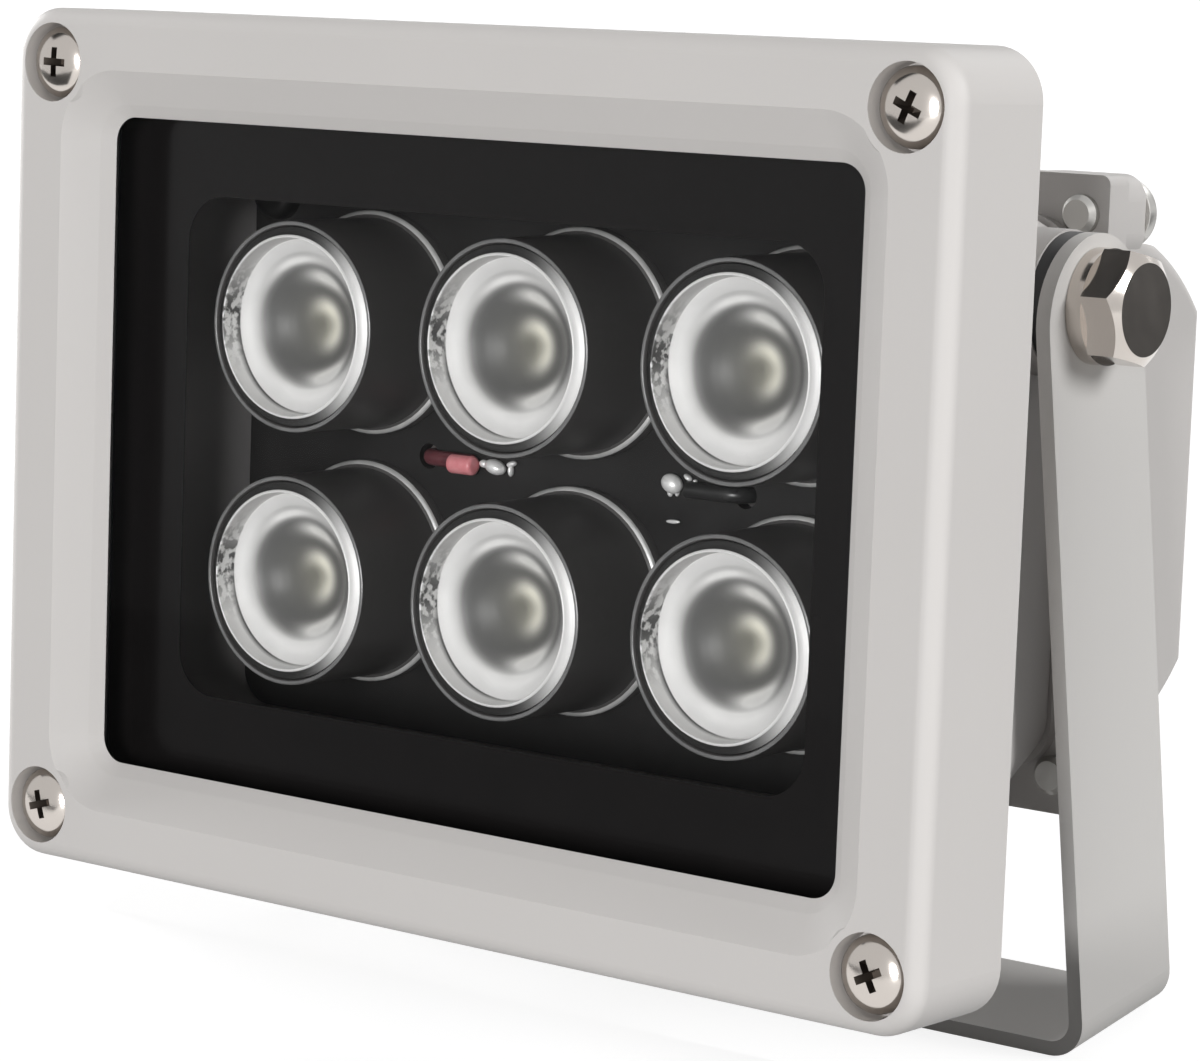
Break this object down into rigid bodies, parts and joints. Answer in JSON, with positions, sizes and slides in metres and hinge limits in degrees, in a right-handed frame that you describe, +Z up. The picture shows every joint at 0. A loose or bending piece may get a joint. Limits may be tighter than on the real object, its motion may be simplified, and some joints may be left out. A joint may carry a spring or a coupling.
{
  "type": "infrared illuminator",
  "caption": "Infrared illuminator: die-cast lamp head with lensed emitters behind dark glass, tilting in a U-bracket",
  "frame": {"origin": "middle of the underside of the bracket's base, where it rests on what carries it", "axes": "+X to the head's right-hand side as seen from in front, +Y away from the lit side, +Z up"},
  "size_m": [0.115, 0.0768, 0.1028],
  "materials": {
    "bracket_paint": "satin silver-grey powder coat on steel sheet",
    "cast_paint": "satin silver-grey paint on die-cast aluminium",
    "plated_steel": "nickel-plated steel",
    "clear_glass": "tempered glass, black printed border on its back",
    "rubber": "matt",
    "black_plastic": "satin black",
    "clear_plastic": "clear moulded lens",
    "board_black": "black solder mask",
    "emitter": "pale package with a clear dome",
    "red_sleeve": "soft sleeve",
    "black_sleeve": "soft sleeve",
    "board_green": "green solder mask",
    "ferrite": "matt ferrite",
    "can": "plain can",
    "terminal_plastic": "moulded"
  },
  "bodies": {
    "bracket": {"bracket": "bracket_paint"},
    "head": {"front_bezel": "cast_paint", "main_housing": "cast_paint", "rear_cover": "cast_paint", "bezel_screws": "plated_steel", "rear_cover_screws": "plated_steel", "led_board_screws": "plated_steel", "driver_board_screws": "plated_steel", "front_glass": "clear_glass", "glass_gasket": "rubber", "rear_gasket": "rubber", "led_board": "board_black", "led_emitters": "emitter", "red_lead": "red_sleeve", "black_lead": "black_sleeve", "driver_board": "board_green", "driver_inductor": "ferrite", "driver_capacitor": "can", "terminal_block": "terminal_plastic", "gland_body": "black_plastic", "gland_cap": "black_plastic", "gland_seal": "rubber", "lens_holder_1": "black_plastic", "lens_1": "clear_plastic", "lens_holder_2": "black_plastic", "lens_2": "clear_plastic", "lens_holder_3": "black_plastic", "lens_3": "clear_plastic", "lens_holder_4": "black_plastic", "lens_4": "clear_plastic", "lens_holder_5": "black_plastic", "lens_5": "clear_plastic", "lens_holder_6": "black_plastic", "lens_6": "clear_plastic", "pivot_bolt_left": "plated_steel", "spring_washer_left": "plated_steel", "friction_washer_left": "black_plastic", "pivot_bolt_right": "plated_steel", "spring_washer_right": "plated_steel", "friction_washer_right": "black_plastic"}
  },
  "joints": [
    {"name": "tilt", "type": "hinge", "parent": "bracket", "child": "head", "pos_m": [0, 0, 0.0731], "axis": [1, 0, 0], "range_deg": [-198, 22.5]}
  ]
}
